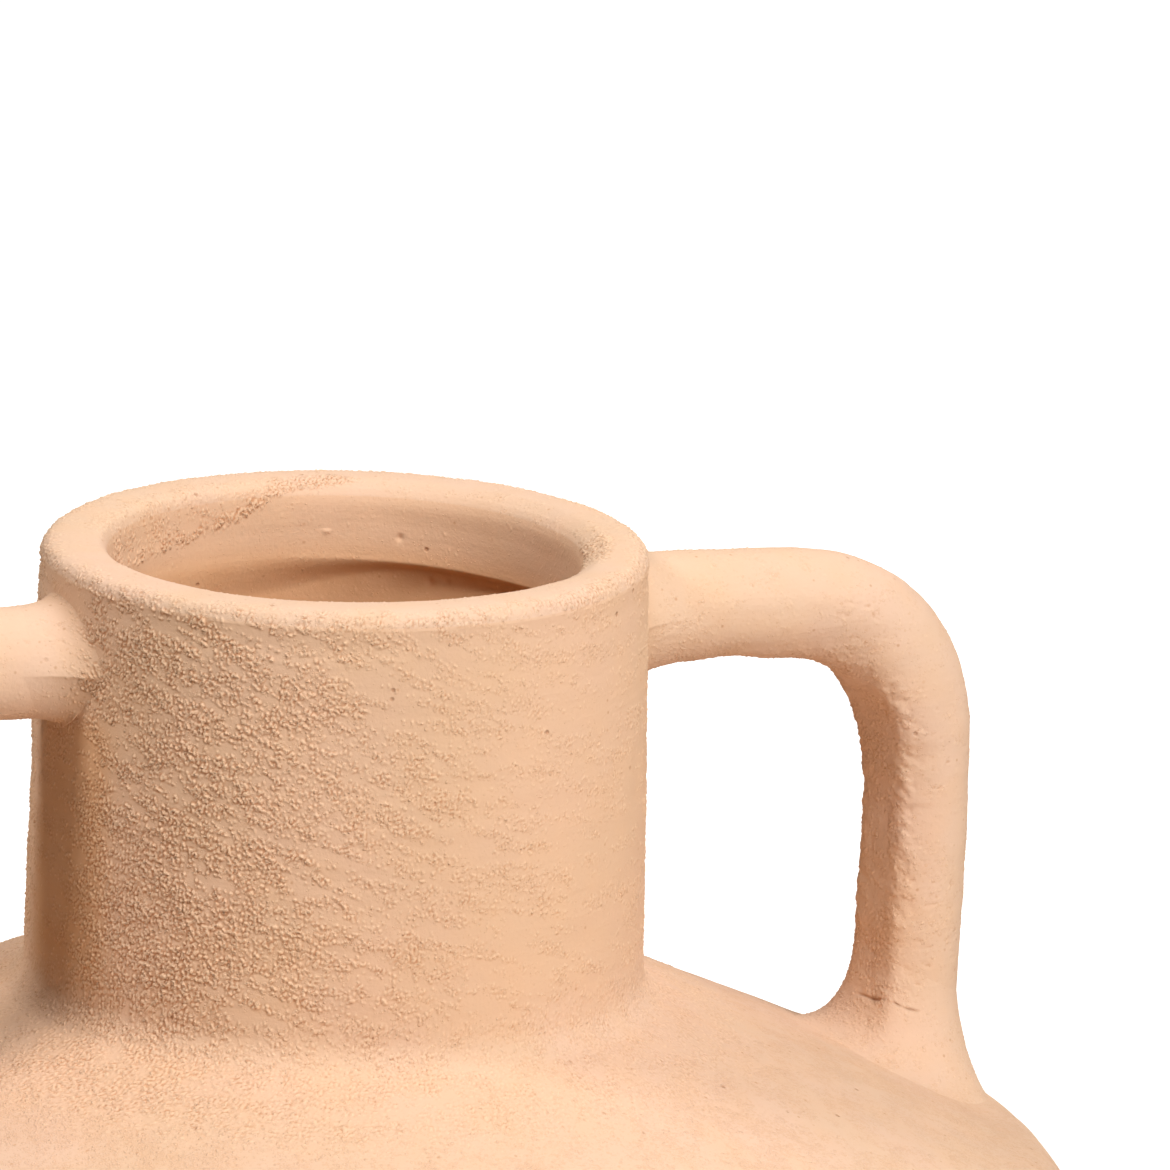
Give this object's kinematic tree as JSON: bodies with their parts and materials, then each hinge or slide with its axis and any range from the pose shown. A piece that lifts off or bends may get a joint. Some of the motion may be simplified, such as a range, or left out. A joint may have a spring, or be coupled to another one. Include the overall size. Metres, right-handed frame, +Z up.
{
  "type": "two-handled vase",
  "caption": "Wide-mouthed vase of sandy terracotta with a broad sloping shoulder, a straight neck and bent rod handles from neck to shoulder.",
  "frame": {"origin": "centre of the flat underside of the base slab, on the surface the vase stands on", "axes": "+Z up along the vase's axis through the mouth, X through the two handles, Y across them"},
  "size_m": [0.308, 0.308, 0.3405],
  "materials": {
    "sandy_terracotta": "unglazed, matte, gritty with sand"
  },
  "bodies": {
    "root": {"base_slab": "sandy_terracotta", "lower_belly": "sandy_terracotta", "upper_belly": "sandy_terracotta", "neck": "sandy_terracotta", "rim": "sandy_terracotta", "right_handle": "sandy_terracotta", "right_neck_collar": "sandy_terracotta", "right_foot_collar": "sandy_terracotta", "left_handle": "sandy_terracotta", "left_neck_collar": "sandy_terracotta", "left_foot_collar": "sandy_terracotta"}
  },
  "joints": []
}
